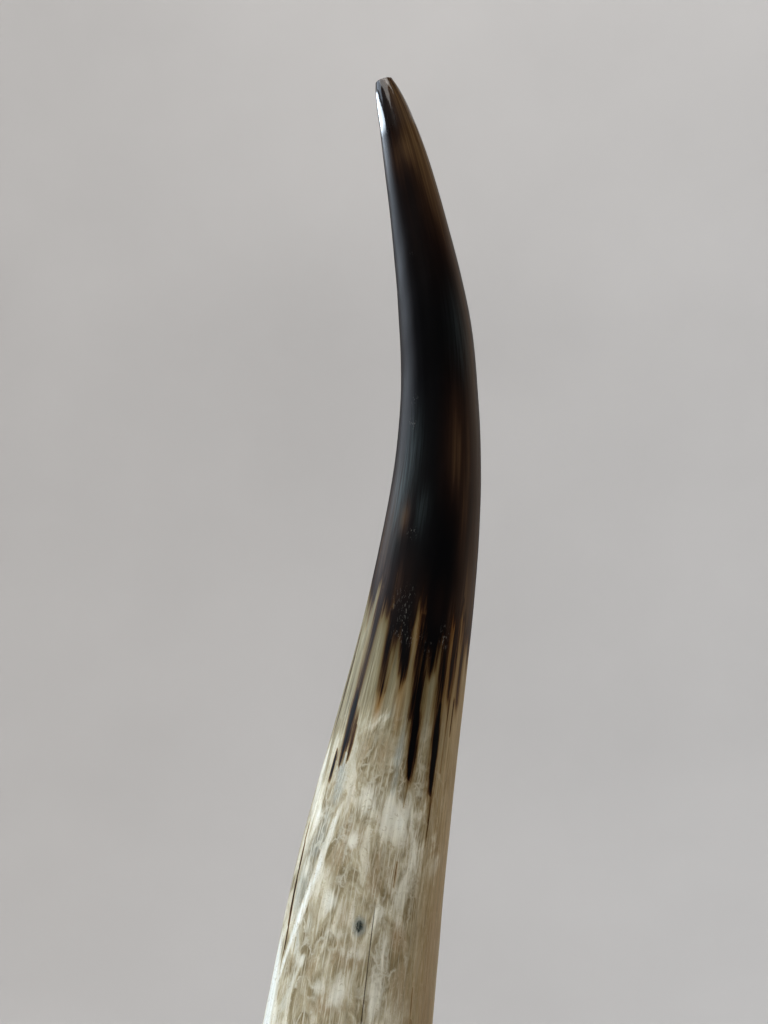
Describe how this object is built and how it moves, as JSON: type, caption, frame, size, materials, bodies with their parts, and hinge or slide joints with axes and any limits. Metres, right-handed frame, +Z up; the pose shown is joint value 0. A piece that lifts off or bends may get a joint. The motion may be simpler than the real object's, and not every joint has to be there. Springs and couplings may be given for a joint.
{
  "type": "mounted longhorn horns",
  "caption": "Pair of long polished cattle horns that sweep out, forward and up from a leather-wrapped wooden mount with braided end bands and a keyhole plate for hanging.",
  "frame": {"origin": "middle of the back board's rear face, on the wall", "axes": "+X to the viewer's right along the spread of the horns, +Y into the wall, +Z up"},
  "size_m": [1.1833, 0.2314, 0.6756],
  "materials": {
    "horn": "polished horn: near-black towards the tip, in long fingers over mottled cream and khaki",
    "wrap_leather": "brown oiled leather, laced along the back",
    "braid_leather": "dark brown braided leather strands",
    "core_wood": "bare turned pine",
    "board_wood": "walnut-stained, satin varnish",
    "zinc_steel": "bright zinc plate",
    "yellow_zinc": "yellow zinc-plated steel screws"
  },
  "bodies": {
    "root": {"horn_right": "horn", "horn_left": "horn", "wood_core": "core_wood", "leather_wrap": "wrap_leather", "braid_right": "braid_leather", "braid_left": "braid_leather", "back_board": "board_wood", "keyhole_plate": "zinc_steel", "plate_screw_1": "zinc_steel", "plate_screw_2": "zinc_steel", "board_screw_1": "yellow_zinc", "board_screw_2": "yellow_zinc", "board_screw_3": "yellow_zinc", "board_screw_4": "yellow_zinc"}
  },
  "joints": []
}
